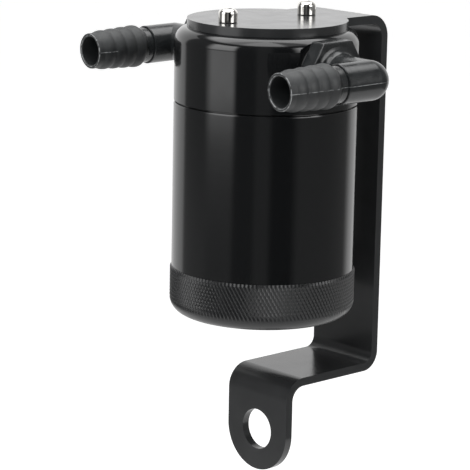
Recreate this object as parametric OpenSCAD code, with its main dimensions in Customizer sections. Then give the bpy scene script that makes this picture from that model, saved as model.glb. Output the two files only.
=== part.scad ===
// Oil catch can: a turned aluminium can that hangs under a folded steel bracket, with two moulded
// hose elbows in its head and a knurled cap that screws off below to empty it.
// Millimetres, +Z up. The origin is the centre of the bracket's fixing hole, on the rear face of the
// tab. The strap of the bracket stands at +X, and the hose ends point to -X.

/* [Bracket] */
// Thickness of the folded sheet
sheet_t = 3.5; // [2.5:0.5:5]
// Width of the strap, the shelf and the tab
strap_w = 35.2; // [28:0.1:44]
// Inner radius of the folds at the plate and at the tab
fold_r = 6; // [4:0.5:8]
// Inner radius of the tighter fold between the strap and the shelf
low_fold_r = 4.5; // [3:0.5:8]
// Radius of the round plate on top of the can
plate_r = 33; // [29:0.5:36]
// Clear gap between the tube and the strap
strap_gap = 11.4; // [8:0.1:20]
// Clear height between the cap and the shelf
shelf_gap = 26.9; // [18:0.1:45]
// Drop from the top of the shelf to the centre of the fixing hole
hole_drop = 24.5; // [20:0.5:40]
// Diameter of the fixing hole
hole_d = 17.2; // [8:0.1:20]
// How far the can's axis stands in front of the tab's rear face
can_offset = 2.4; // [0:0.1:8]

/* [Bracket screws] */
// Distance of each screw from the can's axis
screw_pitch_r = 22.2; // [16:0.2:25]
// Shank diameter of the screws
screw_d = 5; // [4:0.5:6]
// Diameter of the domed screw heads
screw_head_d = 7.8; // [7:0.1:10]
// Height of the domed screw heads
screw_head_h = 5.5; // [4:0.1:7]
// Length of the shank under the head
screw_len = 14; // [10:1:16]

/* [Can] */
// Outer diameter of the head and the tube
can_d = 76; // [70:1:90]
// Wall thickness of the tube
tube_wall = 3; // [2:0.5:5]
// Height of the head between the plate and the parting line
head_h = 30.8; // [30:0.1:40]
// Rounding of the head's top edge
head_round = 4.8; // [2:0.1:6]
// Visible length of the tube between the head and the cap
tube_len = 68.6; // [60:0.1:110]
// Chamfer of the tube's upper edge, at the parting line
tube_chamfer = 0.8; // [0.3:0.1:1.5]
// Length of the head's spigot inside the tube
spigot_h = 9; // [7:0.5:11]

/* [Cap] */
// Outer diameter of the cap over its knurl
cap_d = 77.2; // [76:0.1:92]
// Height of the cap under the tube
cap_h = 20; // [16:0.5:28]
// Rounding of the cap's lower edge
cap_round = 6.8; // [3:0.1:8]
// Thickness of the cap's floor
cap_floor = 6; // [4:0.5:8]
// Length of the cap's spigot inside the tube
cap_spigot_h = 12; // [9:0.5:14]
// Wall thickness of the cap's spigot
cap_spigot_wall = 3.7; // [3:0.1:5]

/* [Hose elbows] */
// Diameter of the elbow's body
elbow_d = 16.1; // [14:0.1:18]
// Distance from the can's axis to the axis of the hose end
elbow_reach = 63.8; // [60:0.1:75]
// Length of the hose end, from the elbow's corner to its mouth
barb_len = 44.3; // [42:0.1:60]
// Inner diameter of the elbow
bore_d = 12.2; // [9:0.1:12.4]
// Depth of the port axis under the top of the head
port_drop = 13.55; // [13:0.05:16]
// Angle that the line of the ports is turned from square to the bracket
port_turn = 5.5; // [0:0.5:10]
// Angle that the hose ends dip
barb_dip = 1.5; // [0:0.5:5]
// Width of the elbow's hexagon across its flats
hex_af = 25.8; // [23:0.1:26]
// Length of the hexagon along the port
hex_h = 7.4; // [6:0.1:10]
// Depth of the spot face that each elbow seals on
spot_depth = 1.9; // [1:0.1:2.5]
// Section diameter of the O-ring between each elbow and its spot face
seal_d = 1.9; // [1.5:0.1:2.5]
// Outer diameter of the thread that screws into the head
thread_d = 20.6; // [18:0.1:21]
// Length of that thread
thread_len = 13; // [9:0.5:14]
// Number of rounded barbs
barb_count = 4; // [3:1:4]
// Distance between two barbs
barb_pitch = 5.2; // [4.5:0.1:5.6]
// Height of the last and widest barb over the neck
barb_rise = 1.6; // [1:0.1:2]
// How much lower each barb is than the one behind it
barb_taper = 0.26; // [0:0.02:0.4]
// Radius that rounds each barb
barb_round = 6.4; // [4:0.1:9]

/* [Inside] */
// Diameter of the centre rod
rod_d = 6; // [5:0.5:8]
// Thickness of the two perforated baffles
baffle_t = 1.5; // [1:0.5:2]
// Diameter of the holes in the baffles
baffle_hole_d = 3.2; // [2:0.2:4]
// Height of the wire mesh pack
mesh_h = 22; // [10:1:26]
// Outer diameter of the drop tube under the inlet
drop_tube_d = 12; // [9:0.5:12]
// Wall thickness of the drop tube
drop_tube_wall = 1; // [0.8:0.1:1.5]
// Outer diameter of the sintered strainer's cup
filter_d = 17; // [15:0.5:18.5]
// Wall thickness of the strainer
filter_wall = 4; // [3:0.5:5]
// Wall thickness of the sleeve on the centre rod
sleeve_wall = 2; // [1:0.5:2.5]
// Section diameter of the O-rings
oring_d = 1.9; // [1.5:0.1:2.2]

/* [Hidden] */
$fn = 96;
eps = 0.01;

// Named clearances between mating pieces
seat_gap = 0.1;      // between faces that meet when they are screwed home
thread_gap = 0.1;    // round a thread in its tapped hole
spigot_gap = 0.3;    // between a spigot and the tube
hole_gap = 0.25;     // round a screw shank in the plate
stack_gap = 1.6;     // between the sleeve on the rod and the strainer

can_r = can_d / 2;
bore_r = can_r - tube_wall;
spigot_r = bore_r - spigot_gap;

// Heights, from the fixing hole up
shelf_z = hole_drop;
cap_z = shelf_z + shelf_gap;
tube_z = cap_z + cap_h;
part_z = tube_z + tube_len;
head_z = part_z + head_h;
plate_z = head_z + sheet_t;
port_z = head_z - port_drop;

// The can's axis and the bracket's planes along X
can_x = -can_offset;
strap_in = can_x + can_r + strap_gap;
tab_top = shelf_z - sheet_t - fold_r;

// Ports: each hexagon stands off a round spot face on the O-ring between them
spot_r = hex_af / sqrt(3) + 0.1;
port_seat = can_r - spot_depth;
hex_z = port_seat + seal_d;
port_depth = thread_len + 1;
thread_r = thread_d / 2;
elbow_r = elbow_d / 2;
neck_r = elbow_r - 0.6;
passage_r = 6;

// Hose end: stations along the barb's axis, from the elbow's corner
step_s = 15.8;
last_crest_s = barb_len - 6 - (barb_count - 1) * barb_pitch;
mouth_r = neck_r + 0.05;

// Inside: the pocket in the head's underside, and the stack on the rod. The risers stand as close to
// the rod as its sleeve and the strainer let them, and what is in them ends under the port threads.
pocket_z = part_z + 2;
pocket_r = spigot_r - 4;
rod_r = rod_d / 2;
sleeve_r = rod_r + sleeve_wall;
filter_r = filter_d / 2;
riser_y = sleeve_r + stack_gap + filter_r;
riser_top = port_z - thread_r - thread_gap;
rod_bury = 12;
baffle_r = bore_r - spigot_gap;
stack_z = part_z - spigot_h - 3.5;
mesh_z = stack_z - baffle_t - mesh_h;
lower_z = mesh_z - baffle_t;
washer_t = 1.2;
nut_h = rod_d;
nut_z = lower_z - washer_t - nut_h;
drop_r = drop_tube_d / 2;
drop_end = nut_z - 3;
drop_top = riser_top;
groove_w = oring_d + 0.5;

// Places a child on the can's axis
module on_axis(z = 0) {
    translate([can_x, 0, z]) children();
}

// Places a child in a port's own frame: +Z runs out of the head and -X along the hose end.
// side is -1 for the inlet and 1 for the outlet.
module at_port(side) {
    on_axis(port_z) rotate([0, 0, -port_turn]) rotate([-90 * side, 0, 0])
        rotate([0, 0, -side * barb_dip]) children();
}

// Places a child over both screw centres
module at_screws() {
    for (side = [-1, 1]) translate([can_x + side * screw_pitch_r, 0, 0]) children();
}

// A quarter of a folded strip, seen from the side, with its centre at x, z and its inner radius r.
// sx and sz say which quarter of the ring it is.
module fold_profile(x, z, r, sx, sz) {
    out = r + sheet_t;
    translate([x, z]) intersection() {
        difference() {
            circle(r = out);
            circle(r = r);
        }
        translate([sx < 0 ? -out : 0, sz < 0 ? -out : 0]) square(out);
    }
}

// Side view of the strap, from the plate's centre down to the last fold: X across, Z up
module strap_profile() {
    top_x = strap_in - fold_r;
    top_z = plate_z - sheet_t - fold_r;
    low_x = strap_in - low_fold_r;
    low_z = shelf_z + low_fold_r;
    translate([can_x, plate_z - sheet_t]) square([top_x - can_x, sheet_t]);
    fold_profile(top_x, top_z, fold_r, 1, 1);
    translate([strap_in, low_z]) square([sheet_t, top_z - low_z]);
    fold_profile(low_x, low_z, low_fold_r, 1, -1);
    translate([fold_r, shelf_z - sheet_t]) square([low_x - fold_r, sheet_t]);
    fold_profile(fold_r, tab_top, fold_r, -1, 1);
}

// Outline of the tab: a strip with a full round end about the fixing hole
module tab_outline() {
    circle(d = strap_w);
    translate([-strap_w / 2, 0]) square([strap_w, tab_top]);
}

// Bracket: one folded sheet with a round plate, a strap, a shelf and a tab
module bracket() {
    color("#1d1e1f") difference() {
        union() {
            on_axis(plate_z - sheet_t) cylinder(r = plate_r, h = sheet_t);
            translate([0, strap_w / 2, 0]) rotate([90, 0, 0])
                linear_extrude(strap_w) strap_profile();
            rotate([90, 0, -90]) linear_extrude(sheet_t) tab_outline();
        }
        translate([-sheet_t - eps, 0, 0]) rotate([0, 90, 0]) cylinder(d = hole_d, h = sheet_t + 2 * eps);
        at_screws() translate([0, 0, plate_z - sheet_t - eps])
            cylinder(d = screw_d + 2 * hole_gap, h = sheet_t + 2 * eps);
    }
}

// One screw: a domed head with a hexagon socket on a plain shank
module bracket_screw() {
    dome = screw_head_h * 0.3;
    socket_r = screw_d * 0.4 / cos(30);
    head_r = screw_head_d / 2;
    difference() {
        union() {
            translate([0, 0, seat_gap]) rotate_extrude() {
                square([head_r, screw_head_h - dome]);
                square([head_r - dome, screw_head_h]);
                translate([head_r - dome, screw_head_h - dome]) circle(r = dome);
            }
            translate([0, 0, -screw_len]) cylinder(d = screw_d, h = screw_len + seat_gap + eps);
        }
        translate([0, 0, screw_head_h * 0.45]) cylinder(r = socket_r, h = screw_head_h, $fn = 6);
    }
}

module bracket_screws() {
    color("#c9cbcd") at_screws() translate([0, 0, plate_z]) bracket_screw();
}

// Half section of a turned block with a rounded top edge
module rounded_block_profile(r, h, round) {
    square([r, h - round]);
    square([r - round, h]);
    translate([r - round, h - round]) circle(r = round);
}

// Half section of an O-ring groove that is open to the outside
module groove_profile(r) {
    translate([r - oring_d + 0.15, -groove_w / 2]) square([oring_d + 1, groove_w]);
}

// Passages on one side of the head: spot face, tapped port, cross bore and riser
module port_cuts(side) {
    at_port(side) {
        translate([0, 0, port_seat]) cylinder(r = spot_r, h = spot_depth + 5);
        translate([0, 0, port_seat - port_depth]) cylinder(r = thread_r + thread_gap, h = port_depth + eps);
        translate([0, 0, riser_y]) cylinder(r = passage_r, h = port_seat - riser_y);
    }
    on_axis(pocket_z - eps) rotate([0, 0, -port_turn]) translate([0, side * riser_y, 0])
        cylinder(r = passage_r + seat_gap, h = port_z - pocket_z);
}

// Head: turned block with two ports and a spigot that screws into the tube
module head() {
    edge = 0.4;
    groove_z = part_z - spigot_h / 2;
    color("#141516") difference() {
        union() {
            on_axis(part_z + edge) rotate_extrude()
                rounded_block_profile(can_r, head_h - edge, head_round);
            on_axis(part_z) cylinder(r1 = can_r - edge, r2 = can_r, h = edge + eps);
            on_axis(part_z - spigot_h) cylinder(r = spigot_r, h = spigot_h + eps);
        }
        on_axis(part_z - spigot_h - eps) cylinder(r = pocket_r, h = pocket_z - part_z + spigot_h + eps);
        for (side = [-1, 1]) port_cuts(side);
        on_axis(pocket_z - eps) cylinder(r = rod_r + thread_gap, h = rod_bury + 1);
        at_screws() translate([0, 0, head_z - screw_len + sheet_t - 1])
            cylinder(d = screw_d + 2 * thread_gap, h = screw_len);
        on_axis(groove_z) rotate_extrude() groove_profile(spigot_r);
    }
}

// Tube: plain turned shell, chamfered at its upper edge
module tube() {
    lower_edge = 0.3;
    color("#141516") on_axis(tube_z) difference() {
        union() {
            cylinder(r1 = can_r - lower_edge, r2 = can_r, h = lower_edge);
            translate([0, 0, lower_edge]) cylinder(r = can_r, h = tube_len - lower_edge - tube_chamfer);
            translate([0, 0, tube_len - tube_chamfer])
                cylinder(r1 = can_r, r2 = can_r - tube_chamfer, h = tube_chamfer);
        }
        translate([0, 0, -eps]) cylinder(r = bore_r, h = tube_len + 2 * eps);
    }
}

// Cap: a cup with a rounded lower edge and a spigot that screws into the tube
module bottom_cap() {
    edge = 0.5;
    cap_r = cap_d / 2;
    cup_r = spigot_r - cap_spigot_wall;
    cup_round = 3;
    body_h = cap_h - seat_gap;
    color("#17181a") on_axis(cap_z) difference() {
        union() {
            translate([0, 0, body_h - edge]) mirror([0, 0, 1]) rotate_extrude()
                rounded_block_profile(cap_r, body_h - edge, cap_round);
            translate([0, 0, body_h - edge]) cylinder(r1 = cap_r, r2 = cap_r - edge, h = edge);
            translate([0, 0, body_h - eps]) cylinder(r = spigot_r, h = cap_spigot_h);
        }
        translate([0, 0, body_h + cap_spigot_h]) mirror([0, 0, 1]) rotate_extrude()
            rounded_block_profile(cup_r, body_h + cap_spigot_h - cap_floor, cup_round);
        translate([0, 0, body_h + groove_w / 2 + 0.6]) rotate_extrude() groove_profile(spigot_r);
    }
}

// Half section of the hose end: r across, distance from the elbow's corner up
module barb_profile() {
    bevel = 0.3;
    crest_1 = neck_r + barb_rise;
    back_s = last_crest_s - 3.6;
    square([elbow_r - bevel, step_s]);
    square([elbow_r, step_s - bevel]);
    polygon([[elbow_r - bevel, step_s], [elbow_r, step_s - bevel], [elbow_r - 1, step_s - bevel]]);
    square([neck_r, barb_len - bevel]);
    square([mouth_r - bevel, barb_len]);
    polygon([[0, barb_len], [mouth_r - bevel, barb_len], [mouth_r, barb_len - bevel],
             [neck_r + barb_rise * 0.45, barb_len - 4.6], [0, barb_len - 4.6]]);
    intersection() {
        for (i = [0 : barb_count - 1])
            translate([crest_1 - i * barb_taper - barb_round, last_crest_s + i * barb_pitch])
                circle(r = barb_round);
        polygon([[0, back_s], [neck_r, back_s], [crest_1 + 0.3, last_crest_s - 0.6],
                 [crest_1 + 0.3, barb_len - 5.5], [neck_r, barb_len], [0, barb_len]]);
    }
}

// Elbow: thread, hexagon, collar and leg along the port, then the barbed hose end at right angles
module elbow() {
    collar_round = 3;
    collar_z = hex_z + hex_h;
    difference() {
        union() {
            translate([0, 0, hex_z - thread_len]) cylinder(r = thread_r, h = thread_len + 1);
            translate([0, 0, hex_z]) cylinder(d = hex_af / cos(30), h = hex_h, $fn = 6);
            translate([0, 0, collar_z]) rotate_extrude() difference() {
                translate([0, -1]) square([elbow_r + collar_round, collar_round + 1]);
                translate([elbow_r + collar_round, collar_round]) circle(r = collar_round);
            }
            translate([0, 0, collar_z - 1]) cylinder(r = elbow_r, h = elbow_reach - collar_z + 1);
            translate([0, 0, elbow_reach]) sphere(r = elbow_r);
            translate([0, 0, elbow_reach]) rotate([0, -90, 0]) rotate_extrude() barb_profile();
        }
        translate([0, 0, hex_z - thread_len - eps])
            cylinder(d = bore_d, h = elbow_reach - hex_z + thread_len + eps);
        translate([0, 0, elbow_reach]) sphere(d = bore_d);
        translate([0, 0, elbow_reach]) rotate([0, -90, 0]) cylinder(d = bore_d, h = barb_len + eps);
    }
}

module inlet_elbow() {
    color("#232425") at_port(-1) elbow();
}

module outlet_elbow() {
    color("#232425") at_port(1) elbow();
}

// A ring of round section about +Z
module oring(r, section) {
    color("#101010") rotate_extrude() translate([r, 0]) circle(d = section);
}

// Seals of the elbows, held between the hexagon and the spot face
module inlet_oring() {
    at_port(-1) translate([0, 0, port_seat + seal_d / 2]) oring(thread_r + seal_d / 2, seal_d);
}

module outlet_oring() {
    at_port(1) translate([0, 0, port_seat + seal_d / 2]) oring(thread_r + seal_d / 2, seal_d);
}

// Seals between the spigots and the tube
module head_oring() {
    on_axis(part_z - spigot_h / 2) oring(spigot_r - oring_d / 2 + 0.2, oring_d);
}

module cap_oring() {
    on_axis(cap_z + cap_h - seat_gap + groove_w / 2 + 0.6) oring(spigot_r - oring_d / 2 + 0.2, oring_d);
}

// Drop tube: carries what comes in down past the mesh, and is cut aslant at its end
module drop_tube() {
    color("#c2c4c6") on_axis() rotate([0, 0, -port_turn]) translate([0, -riser_y, 0]) difference() {
        translate([0, 0, drop_end]) cylinder(r = drop_r, h = drop_top - drop_end);
        translate([0, 0, drop_end - eps]) cylinder(r = drop_r - drop_tube_wall, h = drop_top);
        translate([0, -drop_r, drop_end]) rotate([45, 0, 0])
            translate([-drop_tube_d, -drop_tube_d, -2 * drop_tube_d])
                cube([2 * drop_tube_d, 4 * drop_tube_d, 2 * drop_tube_d]);
    }
}

// Sintered strainer: a cup that hangs in the head's pocket under the outlet
module outlet_filter() {
    neck_h = riser_top - pocket_z;
    cup_h = 12;
    cup_floor = 2;
    color("#a8843c") on_axis(pocket_z) rotate([0, 0, -port_turn]) translate([0, riser_y, 0]) difference() {
        union() {
            translate([0, 0, -seat_gap]) cylinder(r = passage_r, h = neck_h);
            translate([0, 0, -cup_h - seat_gap]) cylinder(r = filter_r, h = cup_h);
        }
        translate([0, 0, cup_floor - cup_h]) cylinder(r = filter_r - filter_wall, h = cup_h + neck_h);
    }
}

// Centre rod: hangs from the head and carries the baffles and the mesh
module centre_rod() {
    rod_z = nut_z - 2;
    color("#b9bbbd") on_axis(rod_z) cylinder(r = rod_r, h = pocket_z + rod_bury - rod_z);
}

// Sleeve that keeps the upper baffle off the head
module rod_spacer() {
    color("#b9bbbd") on_axis(stack_z) difference() {
        cylinder(r = sleeve_r, h = pocket_z - stack_z);
        translate([0, 0, -eps]) cylinder(r = rod_r + thread_gap, h = pocket_z - stack_z + 2 * eps);
    }
}

// Cuts the rod and the drop tube through a disc of the stack
module stack_holes(z, h) {
    on_axis(z - eps) cylinder(r = rod_r + thread_gap, h = h + 2 * eps);
    on_axis(z - eps) rotate([0, 0, -port_turn]) translate([0, -riser_y, 0])
        cylinder(r = drop_r + hole_gap, h = h + 2 * eps);
}

// One perforated disc: rings of holes that keep clear of the rod and the drop tube
module baffle(z) {
    rings = 3;
    ring_step = (baffle_r - 8) / rings;
    color("#b4b6b8") difference() {
        on_axis(z) cylinder(r = baffle_r, h = baffle_t);
        stack_holes(z, baffle_t);
        on_axis(z - eps) rotate([0, 0, -port_turn]) for (ring = [1 : rings]) {
            r = 3 + ring * ring_step;
            count = ring * 6;
            for (i = [0 : count - 1]) {
                x = r * sin(360 * i / count);
                y = r * cos(360 * i / count);
                if (norm([x, y + riser_y]) > drop_r + baffle_hole_d / 2 + 1.5)
                    translate([x, y, 0]) cylinder(d = baffle_hole_d, h = baffle_t + 2 * eps);
            }
        }
    }
}

module upper_baffle() {
    baffle(stack_z - baffle_t);
}

module lower_baffle() {
    baffle(lower_z);
}

// Wire mesh pack, which the oil mist settles on
module mesh_pack() {
    color("#9a9c9e") difference() {
        on_axis(mesh_z) cylinder(r = baffle_r, h = mesh_h);
        stack_holes(mesh_z, mesh_h);
    }
}

module rod_washer() {
    color("#b9bbbd") on_axis(lower_z - washer_t) difference() {
        cylinder(r = rod_d, h = washer_t);
        translate([0, 0, -eps]) cylinder(r = rod_r + thread_gap, h = washer_t + 2 * eps);
    }
}

module rod_nut() {
    color("#b9bbbd") on_axis(nut_z) difference() {
        cylinder(d = rod_d * 1.67 / cos(30), h = nut_h, $fn = 6);
        translate([0, 0, -eps]) cylinder(r = rod_r + thread_gap, h = nut_h + 2 * eps);
    }
}

bracket();
bracket_screws();
head();
tube();
bottom_cap();
inlet_elbow();
outlet_elbow();
inlet_oring();
outlet_oring();
head_oring();
cap_oring();
drop_tube();
outlet_filter();
centre_rod();
rod_spacer();
upper_baffle();
mesh_pack();
lower_baffle();
rod_washer();
rod_nut();
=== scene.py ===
"""Dresses the oil catch can: real edges, knurl, barbs, threads and finishes, with a soft studio round it."""
import math

import bmesh
import bpy
from bpy.props import FloatProperty, FloatVectorProperty, IntProperty, PointerProperty
from mathutils import Matrix, Vector


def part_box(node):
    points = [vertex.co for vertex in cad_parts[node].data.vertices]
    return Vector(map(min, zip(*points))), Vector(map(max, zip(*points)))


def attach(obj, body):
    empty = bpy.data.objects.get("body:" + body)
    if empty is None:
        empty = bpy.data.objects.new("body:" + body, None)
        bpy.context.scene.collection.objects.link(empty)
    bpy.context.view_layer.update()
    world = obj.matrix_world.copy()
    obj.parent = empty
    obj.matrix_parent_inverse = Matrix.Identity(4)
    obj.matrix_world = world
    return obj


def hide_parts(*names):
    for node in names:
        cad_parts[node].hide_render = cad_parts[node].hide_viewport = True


bl_info = {
    "name": "Oil catch can",
    "version": (1, 0, 0),
    "blender": (4, 5, 0),
    "location": "3D View > Sidebar > Catch Can",
    "description": "Builds the pieces and finishes of an oil catch can on its folded bracket",
    "category": "Add Mesh",
}

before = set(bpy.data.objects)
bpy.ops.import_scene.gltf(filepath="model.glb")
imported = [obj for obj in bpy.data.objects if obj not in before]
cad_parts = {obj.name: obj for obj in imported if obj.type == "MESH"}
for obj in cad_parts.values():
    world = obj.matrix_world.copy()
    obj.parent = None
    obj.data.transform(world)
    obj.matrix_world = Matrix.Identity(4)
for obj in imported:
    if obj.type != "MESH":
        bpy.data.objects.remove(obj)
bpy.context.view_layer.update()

MM = 0.001

# Places that the frame settles. The origin is the bracket's hole, and the can's axis stands at CAN_X.
BRACKET_LOW, BRACKET_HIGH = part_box("bracket")
HEAD_LOW, HEAD_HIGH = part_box("head")
TUBE_LOW, TUBE_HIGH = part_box("tube")
CAP_LOW, CAP_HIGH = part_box("bottom_cap")
SEAL_LOW, SEAL_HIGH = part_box("inlet_oring")
SCREWS_LOW, SCREWS_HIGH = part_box("bracket_screws")
CAN_X = (TUBE_LOW.x + TUBE_HIGH.x) / 2
CAN_R = (TUBE_HIGH.y - TUBE_LOW.y) / 2
CAP_R = (CAP_HIGH.y - CAP_LOW.y) / 2
PLATE_R = (BRACKET_HIGH.y - BRACKET_LOW.y) / 2
STRAP_W = -2 * BRACKET_LOW.z
SHEET_T = BRACKET_HIGH.z - HEAD_HIGH.z
PORT_Z = (SEAL_LOW.z + SEAL_HIGH.z) / 2
PORT_TURN = math.atan2((SEAL_LOW.x + SEAL_HIGH.x) / 2 - CAN_X, -(SEAL_LOW.y + SEAL_HIGH.y) / 2)
SCREW_HEAD_R = (SCREWS_HIGH.y - SCREWS_LOW.y) / 2
SCREW_X = (SCREWS_HIGH.x - SCREWS_LOW.x) / 2 - SCREW_HEAD_R


class CatchCanBracketSizes(bpy.types.PropertyGroup):
    """Sizes of the folded bracket and its screws"""

    fold_r: FloatProperty(name="Fold radius", description="Inner radius of the folds at the plate and the tab",
                          default=6 * MM, unit="LENGTH")
    low_fold_r: FloatProperty(name="Lower fold radius", description="Inner radius between strap and shelf",
                              default=4.5 * MM, unit="LENGTH")
    shelf_z: FloatProperty(name="Shelf height", description="Top of the shelf above the fixing hole",
                           default=24.5 * MM, unit="LENGTH")
    hole_r: FloatProperty(name="Hole radius", description="Radius of the fixing hole",
                          default=8.6 * MM, unit="LENGTH")
    edge_round: FloatProperty(name="Edge rounding", description="Rounding that the coat gives each edge",
                              default=0.3 * MM, unit="LENGTH")
    screw_r: FloatProperty(name="Screw radius", description="Radius of the screw shanks",
                           default=2.5 * MM, unit="LENGTH")
    dome_r: FloatProperty(name="Screw dome", description="Rounding of the screw heads",
                          default=1.9 * MM, unit="LENGTH")
    socket_r: FloatProperty(name="Socket radius", description="Corner radius of the screws' sockets",
                            default=1.75 * MM, unit="LENGTH")


class CatchCanBodySizes(bpy.types.PropertyGroup):
    """Sizes of the head, the tube and the cap"""

    head_round: FloatProperty(name="Head rounding", description="Rounding of the head's top edge",
                              default=5.7 * MM, unit="LENGTH")
    spigot_r: FloatProperty(name="Spigot radius", description="Outer radius of both spigots",
                            default=34.7 * MM, unit="LENGTH")
    bore_r: FloatProperty(name="Tube bore radius", description="Inner radius of the tube",
                          default=35 * MM, unit="LENGTH")
    part_chamfer: FloatProperty(name="Parting chamfer", description="Height of the steep chamfer on the tube",
                                default=0.9 * MM, unit="LENGTH")
    cap_round: FloatProperty(name="Cap rounding", description="Rounding of the cap's lower edge",
                             default=6.8 * MM, unit="LENGTH")
    knurl_depth: FloatProperty(name="Knurl depth", description="Depth of the knurl's grooves",
                               default=0.45 * MM, unit="LENGTH")
    knurl_count: IntProperty(name="Knurl count", description="Diamonds round the cap",
                             default=144, min=24)
    knurl_angle: FloatProperty(name="Knurl angle", description="Angle of the grooves from the axis",
                               default=math.radians(30), subtype="ANGLE")
    thread_pitch: FloatProperty(name="Thread pitch", description="Pitch of the cap's thread",
                                default=2 * MM, unit="LENGTH")


class CatchCanElbowSizes(bpy.types.PropertyGroup):
    """Sizes of the moulded hose elbows"""

    body_r: FloatProperty(name="Body radius", description="Outer radius of the elbow",
                          default=8.05 * MM, unit="LENGTH")
    bore_r: FloatProperty(name="Bore radius", description="Radius of the elbow's bore",
                          default=6.1 * MM, unit="LENGTH")
    reach: FloatProperty(name="Reach", description="From the can's axis to the hose end's axis",
                         default=63.8 * MM, unit="LENGTH")
    length: FloatProperty(name="Hose end", description="From the elbow's corner to its mouth",
                          default=44.3 * MM, unit="LENGTH")
    dip: FloatProperty(name="Dip", description="Angle that the hose end dips",
                       default=math.radians(1.5), subtype="ANGLE")
    hex_af: FloatProperty(name="Hexagon", description="Width across the flats",
                          default=25.8 * MM, unit="LENGTH")
    hex_z: FloatProperty(name="Hexagon seat", description="From the can's axis to the hexagon",
                         default=38 * MM, unit="LENGTH")
    hex_h: FloatProperty(name="Hexagon length", description="Length of the hexagon along the port",
                         default=7.4 * MM, unit="LENGTH")
    thread_r: FloatProperty(name="Thread radius", description="Outer radius of the port thread",
                            default=10.3 * MM, unit="LENGTH")
    thread_len: FloatProperty(name="Thread length", description="Length of the port thread",
                              default=13 * MM, unit="LENGTH")
    seam: FloatProperty(name="Mould seam", description="Height of the seam that the mould left",
                        default=0.03 * MM, unit="LENGTH")


def linear(code):
    """Turns an sRGB hex colour into the linear values that the shaders take."""
    channels = [int(code[i:i + 2], 16) / 255 for i in (1, 3, 5)]
    return [c / 12.92 if c <= 0.04045 else ((c + 0.055) / 1.055) ** 2.4 for c in channels] + [1.0]


class CatchCanColours(bpy.types.PropertyGroup):
    """Colours of the visible finishes"""

    coat: FloatVectorProperty(name="Powder coat", description="Black of the bracket", size=4,
                              subtype="COLOR", min=0, max=1, default=linear("#2b2c2d"))
    anodised: FloatVectorProperty(name="Anodised aluminium", description="Black of the can", size=4,
                                  subtype="COLOR", min=0, max=1, default=linear("#111213"))
    nylon: FloatVectorProperty(name="Nylon", description="Black of the elbows", size=4,
                               subtype="COLOR", min=0, max=1, default=linear("#1f2122"))
    polished: FloatVectorProperty(name="Polished steel", description="Tint of the screws", size=4,
                                  subtype="COLOR", min=0, max=1, default=linear("#dcdad6"))
    rubber: FloatVectorProperty(name="Rubber", description="Black of the seals", size=4,
                                subtype="COLOR", min=0, max=1, default=linear("#161616"))


# Selecting and placing

def select_only(*objects):
    """Selects these objects alone and makes the last one active."""
    if bpy.context.mode != "OBJECT":
        bpy.ops.object.mode_set(mode="OBJECT")
    bpy.ops.object.select_all(action="DESELECT")
    for obj in objects:
        obj.select_set(True)
    bpy.context.view_layer.objects.active = objects[-1]


def added(name, primitive, **settings):
    """Adds a primitive or a lamp with nothing else selected, and names it."""
    bpy.ops.object.select_all(action="DESELECT")
    primitive(**settings)
    obj = bpy.context.object
    obj.name = obj.data.name = name
    return obj


def open_piece(obj):
    """Opens a piece in edit mode with all of it selected."""
    select_only(obj)
    bpy.ops.object.mode_set(mode="EDIT")
    bpy.ops.mesh.select_all(action="SELECT")


def pick(kind, test):
    """Selects, in edit mode, the vertices, edges or faces that pass the test."""
    bpy.ops.mesh.select_all(action="DESELECT")
    bpy.ops.mesh.select_mode(type=kind)
    data = bpy.context.object.data
    mesh = bmesh.from_edit_mesh(data)
    for part in {"VERT": mesh.verts, "EDGE": mesh.edges, "FACE": mesh.faces}[kind]:
        if test(part):
            part.select_set(True)
    mesh.select_flush_mode()
    bmesh.update_edit_mesh(data)


def middle(edge):
    """The middle of an edge."""
    return (edge.verts[0].co + edge.verts[1].co) / 2


def close_to(a, b, slack=0.01 * MM):
    """True where two lengths differ by less than the slack."""
    return abs(a - b) < slack


def settle(obj, place=None):
    """Leaves edit mode, and puts the piece's place and turn into its mesh."""
    select_only(obj)
    bpy.ops.object.transform_apply()
    if place is not None:
        obj.matrix_world = place
        bpy.ops.object.transform_apply()
    return obj


def point_outwards(obj):
    """Merges doubled vertices and turns every face of a closed piece outwards."""
    open_piece(obj)
    bpy.ops.mesh.remove_doubles(threshold=0.001 * MM)
    bpy.ops.mesh.normals_make_consistent(inside=False)
    bpy.ops.object.mode_set(mode="OBJECT")


def turned(name, stations, sides=128, hollow=False):
    """Turns a piece about Z: a ring of vertices is extruded from one (radius, height) to the next."""
    path = stations + stations[:1] if hollow else stations
    obj = added(name, bpy.ops.mesh.primitive_circle_add, vertices=sides, radius=path[0][0],
                location=(0, 0, path[0][1]), fill_type="NOTHING" if hollow else "NGON")
    open_piece(obj)
    for (r_from, z_from), (r_to, z_to) in zip(path, path[1:]):
        bpy.ops.mesh.extrude_region_move(TRANSFORM_OT_translate={"value": (0, 0, z_to - z_from)})
        bpy.ops.transform.resize(value=(r_to / r_from, r_to / r_from, 1))
    settle(obj)
    point_outwards(obj)
    return obj


def arc(centre_r, centre_z, radius, start, stop, steps):
    """Stations on an arc of a turned profile, from one angle to another, in degrees from +R."""
    angles = [math.radians(start + (stop - start) * i / steps) for i in range(steps + 1)]
    return [(centre_r + radius * math.cos(a), centre_z + radius * math.sin(a)) for a in angles]


def apply_modifier(obj, name, kind, **settings):
    """Adds a modifier with its settings and applies it."""
    modifier = obj.modifiers.new(name, kind)
    for setting, value in settings.items():
        setattr(modifier, setting, value)
    select_only(obj)
    bpy.ops.object.modifier_apply(modifier=modifier.name)


def combine(obj, operation, *tools):
    """Joins or cuts a piece with other closed solids, which are used up."""
    for tool in tools:
        apply_modifier(obj, operation.title(), "BOOLEAN", operation=operation, solver="MANIFOLD", object=tool)
        bpy.data.objects.remove(tool)


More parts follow.
